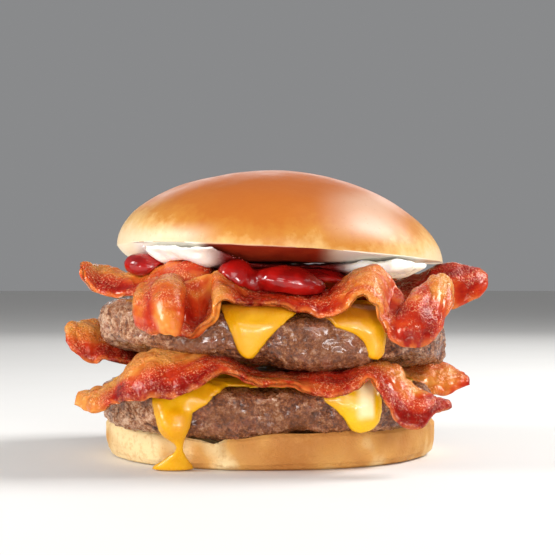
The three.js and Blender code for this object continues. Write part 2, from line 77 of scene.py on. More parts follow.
# Bun
CROWN_X = 3.2
CROWN_RADIUS = 55
CROWN_TOP = 95.2
CROWN_UNDER = 63.8
CROWN_RIM = 66.6
CROWN_LEAN = 3.1
CROWN_FRONT_LIFT = 1.6
CROWN_FLAT = 0.72
HEEL_RADIUS = 55.5
HEEL_DEPTH_SCALE = 0.955
HEEL_HEIGHT = 10.4
HEEL_RIM_LIFT = 1.8
HEEL_DIP = (-17, 13, 2.1)  # x, width and depth of the dip in the front rim
HEEL_FOLDS = [(-12.5, 2.2, 0.8), (-17.5, 3, -0.96)]  # x, width and height of folds in the front
HEEL_RIM = (0.93, 1)
HEEL_FOOT = (0.925, 0)
HEEL_SIDE = [  # share of the radius and share of the height, from the middle of the top
    (0, 1),
    (0.7, 1),
    HEEL_RIM,
    (0.982, 0.985),
    (1, 0.86),
    (1, 0.42),
    (0.987, 0.18),
    (0.96, 0.05),
    HEEL_FOOT,
    (0, 0),
]

# Patties. Swells move the underside, as (x, y, width, height). Bulges stand out of the front, or
# sink into it, as (x, z, width, height). Lips raise the top, as (x, y, length, width, height).
PATTY_SQUARENESS = 3.6
PATTY_ROUNDING = (0.2, 0.44)  # powers that round its side, for the radius and for the level
LOWER_PATTY = {
    "x": -2,
    "half": (53.2, 52.6),
    "bottom": 10.6,
    "top": 25.4,
    "turn": 2,
    "slope": 0,
    "flare": 0.03,
    "seed": 3,
    "swells": [(-17, -55, 14, -3.4), (36, -50, 16, 0.5)],
    "bulges": [
        (-12, 17, 10, 1),
        (-22, 17, 4, -1),
        (10, 16, 9, 0.9),
        (0, 18, 4, -0.8),
        (28, 17, 8, 0.8),
    ],
    "lips": [],
}
UPPER_PATTY = {
    "x": 1,
    "half": (56, 53.4),
    "bottom": 31.3,
    "top": 49,
    "turn": -1.5,
    "slope": -0.045,
    "flare": 0,
    "seed": 11,
    "swells": [
        (-44, -38, 24, 4),
        (-10, -58, 14, 2.6),
        (14, -58, 12, -2),
        (46, -50, 17, 5.2),
    ],
    "bulges": [
        (14, 41, 13, 2.2),
        (-3, 42, 5, -1.6),
        (-22, 40, 10, 0.8),
        (32, 42, 5, -1.4),
        (-49, 53, 8, 1),
    ],
    "lips": [(-47, -34, 13, 13, 1.9)],
}

# Cheese and sauces: ridges and sags move them up or down, as (x, y, length, width, height)
CHEESE_COVER = 51  # how far from the middle bacon or beef covers a slice
UPPER_CHEESE_RIDGES = [(28, 4, 24, 30, 1.7)]
KETCHUP = {"seed": 7, "rounds": 9, "rough": 0.5, "sags": []}
MAYONNAISE = {"seed": 9, "rounds": 40, "rough": 0.6, "sags": [(34, -38, 15, 15, -2.2)]}

# Bacon: each station of a strip has a point of its outer rail, a point of its inner rail, and the
# bulge of its middle
BACON = 2.2  # thickness
LANE = 7.7  # keeps the noise of one strip apart from that of the next
UPPER_FRONT = [
    (-41, -48, 46.5, -40.5, -44, 54.5, 0.5),
    (-38, -54, 42, -37.5, -44, 57.5, 3),
    (-29, -65, 41.5, -30, -45, 59, 6),
    (-25.8, -63.5, 41.6, -26.8, -46, 57.5, 0.5),
    (-21.5, -64, 42.2, -23, -46, 59, -5),
    (-16.4, -63.5, 46.5, -19, -45, 60.4, -3.5),
    (-14, -61, 51.5, -15.6, -43, 61, 1),
    (-6.5, -56, 50.5, -6.5, -40, 58, -0.5),
    (3, -56, 50.3, 3, -38, 55.3, 0.6),
    (18.5, -60, 47, 19, -38, 54, 2.5),
    (27.5, -60, 53, 30, -42, 63, 1),
    (31, -61, 50.5, 36, -42, 60.5, 1),
    (34.2, -62, 45.5, 39.5, -44, 56.5, -1.5),
    (35.2, -63.5, 40, 41.5, -48, 52.5, 3),
    (42, -65, 37.6, 45, -46, 54.5, 6),
    (49, -61, 40, 49, -43, 58, 4),
    (54, -52, 48, 54, -40, 59.5, 1.5),
    (56, -46, 52.5, 56.5, -42, 55.5, 0),
]
UPPER_MIDDLE = [
    (-61, -26, 61.5, -61.5, -22, 63.5, 0),
    (-58.5, -28, 57, -59, -20, 63, 0.5),
    (-54, -29, 53.2, -55, -16, 62.5, 1.5),
    (-40.5, -36, 53, -41, -26, 59.5, 1),
    (-30, -45, 56, -30, -35, 63.8, 1),
    (-22, -45, 56, -22, -36, 64, 2),
    (-14, -37, 54.6, -14, -20, 60, 0),
    (4, -24, 53.6, 4, 2, 55, 0),
    (28, -20, 52.6, 28, 4, 54.5, 0),
    (44, -20, 51.4, 44, -4, 58, 0.5),
    (57, -20, 48.2, 57, -9, 63.4, 3),
    (66.5, -18, 51.2, 67.5, -9, 62.5, 2),
    (72, -12, 56.8, 72, -11, 58.8, 0),
]
LOWER_FRONT = [
    (-61, -34, 18.8, -60.5, -32, 22, 0.3),
    (-54, -43, 16.8, -55, -34, 23.4, 1.5),
    (-47, -51, 20.5, -47, -38, 26.6, 0.8),
    (-36, -60, 22.4, -38, -42, 36, 3),
    (-24, -64, 24.2, -26, -42, 35.8, 3.2),
    (-14, -61, 31, -14.5, -44, 34, 1),
    (-6, -59, 27.2, -6, -41, 30, 0.4),
    (6, -59.5, 26.6, 6, -38, 28.4, 0.8),
    (18, -61, 22.8, 18.5, -40, 29.6, 2.8),
    (25.5, -61, 25.2, 27, -40, 30.4, 2.2),
    (29.2, -60, 28.6, 32, -42, 33.5, 0.5),
    (33, -62, 23.5, 39, -48, 32, 1),
    (37.5, -64, 16, 43, -51, 26.5, 2),
    (44, -63, 14.2, 47, -52, 24, 2.5),
    (49.5, -59, 18, 50.5, -52, 22, 1),
    (55, -56, 20, 55, -54, 21.4, 0.2),
]
LOWER_MIDDLE = [
    (-67, -14, 38.5, -67.5, -10, 41, 0.3),
    (-64.5, -16, 34.4, -65.5, -7, 43.8, 1.5),
    (-59, -17, 30.8, -59.5, -3, 44.6, 2.5),
    (-52, -17, 32, -52, 1, 39, 1.2),
    (-40, -17, 30.2, -40, 8, 32, 0),
    (-18, -15, 30.4, -18, 10, 31, 0),
    (8, -15, 30.2, 8, 10, 30.4, 0),
    (32, -19, 30, 32, 6, 31.2, 0),
    (44.5, -22, 25.4, 46, -3, 31, 1),
    (54, -21, 20.4, 55, -7, 30.6, 2),
    (61, -17.5, 22, 62, -9.5, 27.6, 1.2),
    (66, -13, 24, 66, -12, 25.4, 0),
]

# The strips along the back edges, whose stations back_stations works out
BACK_RAILS = (36, 46, 60)  # y of the inner rail, of the ends of the outer rail and of its middle
LOWER_BACK = {"level": 30, "slope": 0, "reach": 52, "waves": 2.2, "phase": 0.6, "lift": 1}
UPPER_BACK = {"level": 53.8, "slope": -0.045, "reach": 50, "waves": 2.6, "phase": 2.4, "lift": 6}

# How fried a strip is, as (x, tone along the outer rail, tone along the inner rail): 0 is deep red
# and 1 is orange
UPPER_FRONT_TONES = [
    (-41, 0.6, 0.8),
    (-36, 0.35, 0.7),
    (-33, 0.2, 0.55),
    (-30.5, 0.8, 0.75),
    (-28, 0.7, 0.75),
    (-25.5, 0.15, 0.5),
    (-18, 0.5, 0.6),
    (-15, 0.8, 0.85),
    (-10, 0.3, 0.75),
    (-2, 0.25, 0.1),
    (10, 0.3, 0.05),
    (20, 0.45, 0.3),
    (27, 0.8, 0.9),
    (32, 0.75, 0.6),
    (36, 0.2, 0.4),
    (42, 0.05, 0.7),
    (46, 0.05, 0.4),
    (50, 0.3, 0.95),
    (56, 0.5, 0.95),
]
UPPER_MIDDLE_TONES = [
    (-62, 0.45, 0.8),
    (-50, 0.2, 0.75),
    (-38, 0.55, 0.7),
    (-26, 0.4, 0.45),
    (-10, 0.2, 0.5),
    (30, 0.3, 0.3),
    (46, 0.3, 0.0),
    (56, 0.8, 0.1),
    (64, 0.35, 0.3),
    (72, 0.4, 0.5),
]
LOWER_FRONT_TONES = [
    (-61, 0.8, 0.9),
    (-51, 0.7, 0.85),
    (-46, 0.15, 1.0),
    (-32, 0.1, 1.0),
    (-20, 0.15, 0.85),
    (-12, 0.5, 0.3),
    (2, 0.6, 0.35),
    (14, 0.45, 0.05),
    (24, 0.4, 0.1),
    (31, 0.5, 0.7),
    (37, 0.1, 0.85),
    (46, 0.05, 0.5),
    (55, 0.15, 0.3),
]
LOWER_MIDDLE_TONES = [
    (-67, 0.6, 1),
    (-62, 0.4, 1),
    (-52, 0.2, 0.8),
    (-20, 0.4, 0.4),
    (30, 0.4, 0.3),
    (46, 0.8, 0.5),
    (58, 0.7, 0.7),
    (63, 0.45, 0.55),
    (66, 0.15, 0.2),
]
BACK_TONES = [
    (-52, 0.8, 0.8),
    (-30, 0.2, 0.5),
    (-8, 0.7, 0.4),
    (14, 0.15, 0.6),
    (34, 0.6, 0.3),
    (52, 0.3, 0.8),
]


# Small helpers, all on arrays


def lerp(a, b, t):
    return a + (b - a) * t


def clamp01(t):
    return np.clip(t, 0, 1)


def smooth(t):
    t = clamp01(t)
    return t * t * (3 - 2 * t)


def bump(t):
    return np.exp(-t * t)


def noise(x, y, z):
    """Smooth repeatable noise between -1 and 1, the same as the solids use."""
    i, j, k = np.floor(x), np.floor(y), np.floor(z)
    u, v, w = smooth(x - i), smooth(y - j), smooth(z - k)

    def hashed(a, b, c):
        s = np.sin(a * 127.1 + b * 311.7 + c * 74.7) * 43758.5453
        return 2 * (s - np.floor(s)) - 1

    def edge(b, c):
        return lerp(hashed(i, b, c), hashed(i + 1, b, c), u)

    near = lerp(edge(j, k), edge(j + 1, k), v)
    far = lerp(edge(j, k + 1), edge(j + 1, k + 1), v)
    return lerp(near, far, w)


def noise_at(points, size, seed=0):
    """Noise with features of about size millimetres, at an array of points."""
    q = points / size + seed
    return noise(q[..., 0], q[..., 1], q[..., 2])


def relief(points, *layers):
    """A sum of noises at an array of points, each given as (height, size, seed)."""
    return sum(height * noise_at(points, size, seed) for height, size, seed in layers)


# Meshes


def new_object(name, mesh):
    piece = bpy.data.objects.new(name, mesh)
    bpy.context.scene.collection.objects.link(piece)
    return piece


def make_piece(name, points, faces):
    """A smooth shaded object from points in millimetres."""
    mesh = bpy.data.meshes.new(name)
    mesh.from_pydata((points * MM).tolist(), [], faces)
    mesh.shade_smooth()
    return new_object(name, mesh)


def add_fields(piece, **fields):
    """Adds values by point, for its material to read."""
    for name, values in fields.items():
        layer = piece.data.attributes.new(name, "FLOAT", "POINT")
        layer.data.foreach_set("value", values.astype(np.float32).ravel())


def points_of(piece):
    points = np.empty(len(piece.data.vertices) * 3, np.float32)
    piece.data.vertices.foreach_get("co", points)
    return points.reshape(-1, 3).astype(float) / MM


def normals_of(piece):
    normals = np.empty(len(piece.data.vertices) * 3, np.float32)
    piece.data.vertex_normals.foreach_get("vector", normals)
    return normals.reshape(-1, 3).astype(float)


def move_points(piece, points):
    piece.data.vertices.foreach_set("co", (points * MM).astype(np.float32).ravel())
    piece.data.update()


def push_out(piece, amounts):
    """Moves each point along its normal, by millimetres."""
    move_points(piece, points_of(piece) + normals_of(piece) * amounts[:, None])


def raise_spots(piece, spots, share):
    """Moves soft round spots, as (x, y, length, width, height), up or down by a share by point."""
    points = points_of(piece)
    for x, y, length, width, height in spots:
        spot = bump(np.hypot((points[:, 0] - x) / length, (points[:, 1] - y) / width))
        points[:, 2] = points[:, 2] + height * spot * share
    move_points(piece, points)


def remeshed(name, node, rounds):
    """A fine copy of a solid, smoothed in this many rounds."""
    piece = new_object(name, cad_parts[node].data.copy())
    fine = piece.modifiers.new("fine", "REMESH")
    fine.mode = "VOXEL"
    fine.voxel_size = VOXEL * MM
    fair = piece.modifiers.new("fair", "SMOOTH")
    fair.factor = 0.5
    fair.iterations = rounds
    ready = piece.evaluated_get(bpy.context.evaluated_depsgraph_get())
    mesh = bpy.data.meshes.new_from_object(ready)
    piece.modifiers.clear()
    piece.data = mesh
    mesh.materials.clear()
    mesh.shade_smooth()
    return piece


def round_faces(segments, rings):
    """Faces of a round closed body whose first and last rings are single points."""

    def at(j, i):
        return 1 + (j - 1) * segments + i % segments

    last = 1 + (rings - 1) * segments
    faces = []
    for i in range(segments):
        faces.append((0, at(1, i), at(1, i + 1)))
        faces.append((at(rings - 1, i), last, at(rings - 1, i + 1)))
        for j in range(1, rings - 1):
            faces.append((at(j, i), at(j + 1, i), at(j + 1, i + 1), at(j, i + 1)))
    return faces


def round_body(segments, shares, ring):
    """Points and faces of a round body: ring(shares, theta) gives its points, over two arrays."""
    rings = len(shares) - 1
    theta = np.arange(segments) * 2 * math.pi / segments
    grid_share, grid_theta = np.meshgrid(shares[1:-1], theta, indexing="ij")
    middle = ring(grid_share, grid_theta).reshape(-1, 3)
    first = ring(shares[:1], np.zeros(1))
    last = ring(shares[-1:], np.zeros(1))
    return np.concatenate([first, middle, last]), round_faces(segments, rings)


# Shapes of the bun


def crown_rim(theta):
    lean = CROWN_LEAN * np.cos(theta)
    return CROWN_RIM - lean + CROWN_FRONT_LIFT * np.maximum(0, -np.sin(theta))


def crown_ring(turn, theta):
    """Points of the crown: turn is 1 at its top, 0 at its widest line and -1 under its middle."""
    above = turn >= 0
    share = np.cos(turn * math.pi / 2)
    fullness = 1.9 - 0.15 * np.cos(theta)
    rise = (1 - np.minimum(1, share) ** fullness) ** (1 / fullness)
    dome = lerp(crown_rim(theta), CROWN_TOP, rise)
    front = smooth((-np.sin(theta) - 0.3) / 0.4)
    climb = clamp01((share - CROWN_FLAT) / (1 - CROWN_FLAT))
    below = lerp(CROWN_UNDER, crown_rim(theta), climb ** lerp(4, 0.9, front))
    radius = CROWN_RADIUS * share * (1 + 0.005 * np.sin(3 * theta + 1))
    x = CROWN_X + radius * np.cos(theta)
    y = radius * np.sin(theta)
    return np.stack([x, y, np.where(above, dome, below)], -1)


def make_crown():
    above, below = CROWN_RINGS
    turns = np.concatenate([np.linspace(1, 0, above), np.linspace(0, -1, below)[1:]])
    points, faces = round_body(CROWN_SEGMENTS, turns, crown_ring)
    piece = make_piece("crown", points, faces)
    push_out(piece, relief(points, (0.35, 17, 5), (0.14, 6, 2)) - 0.25)
    add_fields(piece, under=smooth(-0.2 - 1.6 * normals_of(piece)[:, 2]))
    return piece


def heel_ring(distance, theta, travelled):
    """Points of the heel, at distances along its outline from the middle of the top."""
    share, level = (np.interp(distance, travelled, column) for column in zip(*HEEL_SIDE))
    edge = smooth((share - 0.8) / 0.15)
    wave = 1 + edge * (0.006 * np.sin(2 * theta + 0.6) + 0.005 * np.sin(5 * theta))
    radius = HEEL_RADIUS * share * wave
    x = radius * np.cos(theta)
    y = radius * HEEL_DEPTH_SCALE * np.sin(theta)
    raised = HEEL_RIM_LIFT * smooth(0.8 - np.sin(theta))
    middle, width, depth = HEEL_DIP
    pressed = depth * bump((x - middle) / width) * smooth(-np.sin(theta))
    return np.stack([x, y, level * (HEEL_HEIGHT + edge * (raised - pressed))], -1)


def make_heel():
    side = np.array(HEEL_SIDE, float) * (HEEL_RADIUS, HEEL_HEIGHT)
    lengths = np.hypot(*np.diff(side, axis=0).T)
    travelled = np.concatenate([[0], np.cumsum(lengths)])
    ends = travelled[[0, HEEL_SIDE.index(HEEL_RIM), HEEL_SIDE.index(HEEL_FOOT), -1]]
    legs = [np.linspace(*leg)[1:] for leg in zip(ends, ends[1:], HEEL_RINGS)]
    walk = np.concatenate([[0], *legs])
    points, faces = round_body(HEEL_SEGMENTS, walk, lambda d, theta: heel_ring(d, theta, travelled))
    piece = make_piece("heel", points, faces)
    folds = sum(height * bump((points[:, 0] - x) / width) for x, width, height in HEEL_FOLDS)
    dent = relief(points, (0.8, 12, 4), (0.25, 3.4, 8)) - 0.4
    front = smooth(-points[:, 1] / 20)
    off_table = smooth(points[:, 2] / 2)
    push_out(piece, (dent + folds * front) * off_table)
    return piece


# Patties


def patty_profile(tilt):
    """The share of the radius and the level, from 1 at the top to -1 at the underside."""
    radius_power, level_power = PATTY_ROUNDING
    share = np.maximum(0, np.cos(tilt)) ** radius_power
    return share, np.sign(tilt) * np.abs(np.sin(tilt)) ** level_power


def patty_ring(patty, tilt, theta):
    """Points of a patty, at tilts from half pi at the middle of the top to minus half pi."""
    turned = theta - math.radians(patty["turn"])
    c = np.abs(np.cos(turned) / patty["half"][0]) ** PATTY_SQUARENESS
    s = np.abs(np.sin(turned) / patty["half"][1]) ** PATTY_SQUARENESS
    share, level = patty_profile(tilt)
    reach = (c + s) ** (-1 / PATTY_SQUARENESS) * share * (1 + patty["flare"] * level)
    x = patty["x"] + reach * np.cos(theta)
    y = reach * np.sin(theta)
    half = (patty["top"] - patty["bottom"]) / 2
    z = patty["bottom"] + half * (1 + level) + patty["slope"] * x
    swell = 0
    for middle_x, middle_y, width, height in patty["swells"]:
        swell = swell + height * bump(np.hypot(x - middle_x, y - middle_y) / width)
    z = z + swell * clamp01(-level)
    seed = patty["seed"]
    coarse = noise(x / 11 + seed, y / 11, z / 9)
    fine = noise(x / 5, y / 5 + seed, z / 5)
    side = smooth((share - 0.75) / 0.25)
    out = (0.9 * coarse + 0.5 * fine) * side
    up = 0.25 * coarse * (1 - side)
    return np.stack([x + out * np.cos(theta), y + out * np.sin(theta), z + up], -1)


def patty_walk(patty):
    """Tilts from top to underside in even steps of the outline, finer round the side."""
    tilts = np.linspace(math.pi / 2, -math.pi / 2, 4001)
    share, level = patty_profile(tilts)
    half = (patty["top"] - patty["bottom"]) / 2
    steps = np.hypot(np.diff(share) * patty["half"][0], np.diff(level) * half)
    fineness = np.where(share[1:] > 0.86, 1, 0.3)
    travelled = np.concatenate([[0], np.cumsum(steps * fineness)])
    return np.interp(np.linspace(0, travelled[-1], PATTY_RINGS), travelled, tilts)


def make_patty(name, patty):
    """A patty of warped crumbs with creases between them, smoother and browner where it bulges."""
    points, faces = round_body(
        PATTY_SEGMENTS, patty_walk(patty), lambda tilt, theta: patty_ring(patty, tilt, theta)
    )
    piece = make_piece(name, points, faces)
    seed = patty["seed"]
    warp = np.stack([noise_at(points, 5, seed + k) for k in (1.3, 2.6, 3.9)], 1)
    grainy = (points + 1.6 * warp) * (0.85, 0.85, 1.15)
    lumps = np.sqrt(np.abs(noise_at(grainy, 4.6, seed)))
    crumbs = np.sqrt(np.abs(noise_at(grainy, 2.1, seed + 1)))
    grains = np.abs(noise_at(grainy, 1.05, seed + 2))
    uneven = noise_at(points, 10, seed + 3)
    front = smooth(-points[:, 1] / 40)
    bulges = 0
    seared = 0
    for x, z, width, height in patty["bulges"]:
        spot = front * bump(np.hypot(points[:, 0] - x, 1.6 * (points[:, 2] - z)) / width)
        bulges = bulges + height * spot
        seared = seared + clamp01(height) * spot
    seared = clamp01(0.8 * seared + 0.35 * smooth(noise_at(points, 9, seed + 4) * 2.5))
    crumbly = (0.8 * lumps + 0.7 * crumbs + 0.6 * grains) * (1 - 0.45 * seared)
    push_out(piece, crumbly + 1.2 * uneven + 0.5 * seared - 1.3 + bulges)
    heights = points_of(piece)[:, 2]
    top = smooth((heights - patty["bottom"]) / (patty["top"] - patty["bottom"]))
    raise_spots(piece, patty["lips"], top)
    # creases is 0 in the sunken creases between crumbs, where the beef gets painted shade
    flat = smooth(lumps / 0.3) * (0.4 + 0.6 * smooth(crumbs / 0.35))
    add_fields(piece, creases=clamp01(flat + 0.5 * seared), crumb=crumbs, seared=seared)
    return piece


# Bacon


def rail(points, t):
    """A uniform Catmull-Rom curve through the points, at shares t from 0 to 1."""
    points = np.array(points, float)
    before = 2 * points[0] - points[1]
    after = 2 * points[-1] - points[-2]
    padded = np.concatenate([[before], points, [after]])
    place = t * (len(points) - 1)
    i = np.clip(np.floor(place).astype(int), 0, len(points) - 2)
    w = (place - i)[:, None]
    p0, p1, p2, p3 = (padded[i + k] for k in range(4))
    t1, t2 = (p2 - p0) / 2, (p3 - p1) / 2
    bend = -3 * p1 + 3 * p2 - 2 * t1 - t2
    return p1 + t1 * w + bend * w**2 + (2 * p1 - 2 * p2 + t1 + t2) * w**3


def unit(vectors):
    return vectors / np.maximum(1e-9, np.linalg.norm(vectors, axis=-1, keepdims=True))


def back_stations(level, slope, reach, waves, phase, lift):
    """The stations of a strip along the back edge of a layer, waving up and down and drooping."""
    stations = []
    inner_y, end_y, outer_y = BACK_RAILS
    for t in np.linspace(0, 1, 11):
        x = lerp(reach, -reach, t)
        end = smooth(min(t, 1 - t) * 6)
        wave = math.sin(waves * 2 * math.pi * t + phase) * end
        droop = 6 * clamp01(0.4 - 0.8 * wave) * end
        z = level + slope * x
        crest = lift * max(0, wave)
        outer = (x, lerp(end_y, outer_y, end), z - droop + crest)
        inner = (0.96 * x, inner_y, z + 0.6 + crest)
        stations.append((*outer, *inner, 0.5 + droop / 2))
    return stations


def strip_walk(stations):
    """Even steps along a strip: the distances, both rails, the bulges and the outward ways."""
    outer = [s[:3] for s in stations]
    inner = [s[3:6] for s in stations]
    t_fine = np.linspace(0, 1, 1200)
    lengths = [
        np.linalg.norm(np.diff(rail(points, t_fine), axis=0), axis=1) for points in (outer, inner)
    ]
    travelled = np.concatenate([[0], np.cumsum((lengths[0] + lengths[1]) / 2)])
    steps = int(travelled[-1] / STRIP_STEP)
    walk = np.linspace(0, travelled[-1], steps + 1)
    t = np.interp(walk, travelled, t_fine)
    a = rail(outer, t)
    b = rail(inner, t)
    bulges = np.array([s[6] for s in stations], float)
    place = t * (len(stations) - 1)
    i = np.clip(np.floor(place).astype(int), 0, len(stations) - 2)
    bulge = lerp(bulges[i], bulges[i + 1], smooth(place - i))
    forward = unit(np.gradient(a, axis=0)) + unit(np.gradient(b, axis=0))
    return walk, a, b, bulge, unit(np.cross(forward, b - a))


def grid_normals(grid):
    return unit(np.cross(np.gradient(grid, axis=0), np.gradient(grid, axis=1)))


def along_noise(flat, length, shift, lane):
    """Noise that changes only along a strip, where flat is (along, across, lane of the strip)."""
    return noise(flat[..., 0] / length, flat[..., 2] + shift, lane)


def grain(flat, length, width, shift=0):
    """Noise with features of this length along a strip and this width across it."""
    return noise(flat[..., 0] / length, flat[..., 1] / width, flat[..., 2] + shift)


def strip_fat(tones, x, share, flat, fibres):
    """How fat the meat is, from 0 to 1: a wavering border between two tones, with streaks."""
    places, outer_tones, inner_tones = np.array(tones, float).T
    outer_tone = np.interp(x, places, outer_tones)[:, None]
    inner_tone = np.interp(x, places, inner_tones)[:, None]
    wobble = 0.1 * along_noise(flat, 17, 0, 3.1) + 0.05 * along_noise(flat, 5.5, 0, 8.2)
    fat = lerp(outer_tone, inner_tone, smooth((share + wobble - 0.1) / 0.55))
    streaks = noise(flat[..., 0] / 26, flat[..., 1] / 3.2 + 3 * wobble, flat[..., 2] + 9)
    return clamp01(fat + 0.26 * streaks + 0.08 * fibres)


def make_strip(name, stations, seed, tones):
    """A strip between its rails, with ripples, ragged edges, and fat that stands out a little."""
    walk, a, b, bulge, out = strip_walk(stations)
    even = np.linspace(0, 1, STRIP_COLUMNS + 1)
    across = lerp(even, (1 - np.cos(even * math.pi)) / 2, 0.45)
    along_mm, share = np.meshgrid(walk, across, indexing="ij")
    across_mm = share * np.linalg.norm(b - a, axis=1)[:, None]
    flat = np.stack([along_mm, across_mm, np.full_like(share, LANE * seed)], -1)
    off_middle = np.abs(2 * share - 1)

    ragged = 0.9 * along_noise(flat, 5, 0, 0.5) + 0.5 * along_noise(flat, 1.9, 5, 0)
    end_distance = np.minimum(along_mm, walk[-1] - along_mm)
    spread = off_middle**3 * (ragged - 0.5) * smooth(end_distance / 6)
    side_way = unit(b - a)[:, None, :] * np.sign(2 * share - 1)[..., None]
    bowed = 4 * share * (1 - share) * bulge[:, None]
    middle = lerp(a[:, None, :], b[:, None, :], share[..., None])
    middle = middle + out[:, None, :] * bowed[..., None] + side_way * spread[..., None]
    ripple = 0.75 * grain(flat, 3.4, 9) * (0.45 + 0.9 * off_middle**1.5)
    ripple = ripple + 0.3 * grain(flat, 1.8, 3)
    middle = middle + grid_normals(middle) * ripple[..., None]
    normal = grid_normals(middle)

    fibres = 0.6 * grain(flat, 6, 0.9) + 0.4 * grain(flat, 2.4, 0.6, 4)
    fat = strip_fat(tones, a[:, 0], share, flat, fibres)
    edge = clamp01((off_middle - 0.82) / 0.18)
    tip = clamp01(1 - end_distance / 2.2)
    round_rim = np.sqrt(np.maximum(0, 1 - np.maximum(edge, tip) ** 2))
    half = BACON / 2 * lerp(0.12, 1, round_rim)
    raised = 0.35 * fat + 0.12 * fibres + 0.12 * noise_at(flat, 1.3, seed)
    thick = normal * (half + raised * round_rim - 0.15)[..., None]
    points = np.concatenate([(middle + thick).reshape(-1, 3), (middle - thick).reshape(-1, 3)])
    piece = make_piece(name, points, plate_faces(len(walk) - 1, STRIP_COLUMNS))
    on_faces = {
        "up": (normal[..., 2], -normal[..., 2]),
        "fat": (fat, fat),
        "edge": (edge, edge),
        "along": (along_mm, along_mm),
        "across": (across_mm, across_mm),
    }
    add_fields(piece, **{field: np.stack(pair) for field, pair in on_faces.items()})
    return piece


def plate_faces(steps, across):
    """Faces of a plate: two like grids of points, one on each face, joined round the border."""
    columns = across + 1

    def at(face, i, j):
        return (face * (steps + 1) + i) * columns + j

    def wall(p, q):
        faces.append((at(0, *p), at(1, *p), at(1, *q), at(0, *q)))

    faces = []
    for i in range(steps):
        for j in range(across):
            faces.append((at(0, i, j), at(0, i + 1, j), at(0, i + 1, j + 1), at(0, i, j + 1)))
            faces.append((at(1, i, j), at(1, i, j + 1), at(1, i + 1, j + 1), at(1, i + 1, j)))
        wall((i, 0), (i + 1, 0))
        wall((i + 1, across), (i, across))
    for j in range(across):
        wall((0, j + 1), (0, j))
        wall((steps, j), (steps, j + 1))
    return faces


# Cheese and sauces


def make_cheese(name, node, seed, ridges):
    """A cheese slice in soft waves, with a field that says where bacon or beef covers it."""
    piece = remeshed(name, node, 14)
    points = points_of(piece)
    off_table = smooth(points[:, 2] / 1.5)
    push_out(piece, (relief(points, (0.3, 7, seed), (0.1, 2.5, seed)) + 0.15) * off_table)
    raise_spots(piece, ridges, smooth(normals_of(piece)[:, 2]))
    facing_up = smooth((normals_of(piece)[:, 2] - 0.5) / 0.3)
    inside = smooth((CHEESE_COVER - np.abs(points_of(piece)[:, 1])) / 5)
    add_fields(piece, covered=facing_up * inside)
    return piece


def make_sauce(name, node, seed, rounds, rough, sags):
    """A sauce in soft lumps, which may sag."""
    piece = remeshed(name, node, rounds)
    points = points_of(piece)
    push_out(piece, relief(points, (rough, 5, seed), (0.4 * rough, 2.2, seed)) + 0.2)
    raise_spots(piece, sags, smooth(0.3 - normals_of(piece)[:, 2]))
    return piece


# Materials


def linear(hex_colour):
    """An sRGB colour such as "d28a40", as linear values with alpha."""
    parts = [int(hex_colour[k : k + 2], 16) / 255 for k in (0, 2, 4)]
    values = [c / 12.92 if c <= 0.04045 else ((c + 0.055) / 1.055) ** 2.4 for c in parts]
    return (*values, 1)


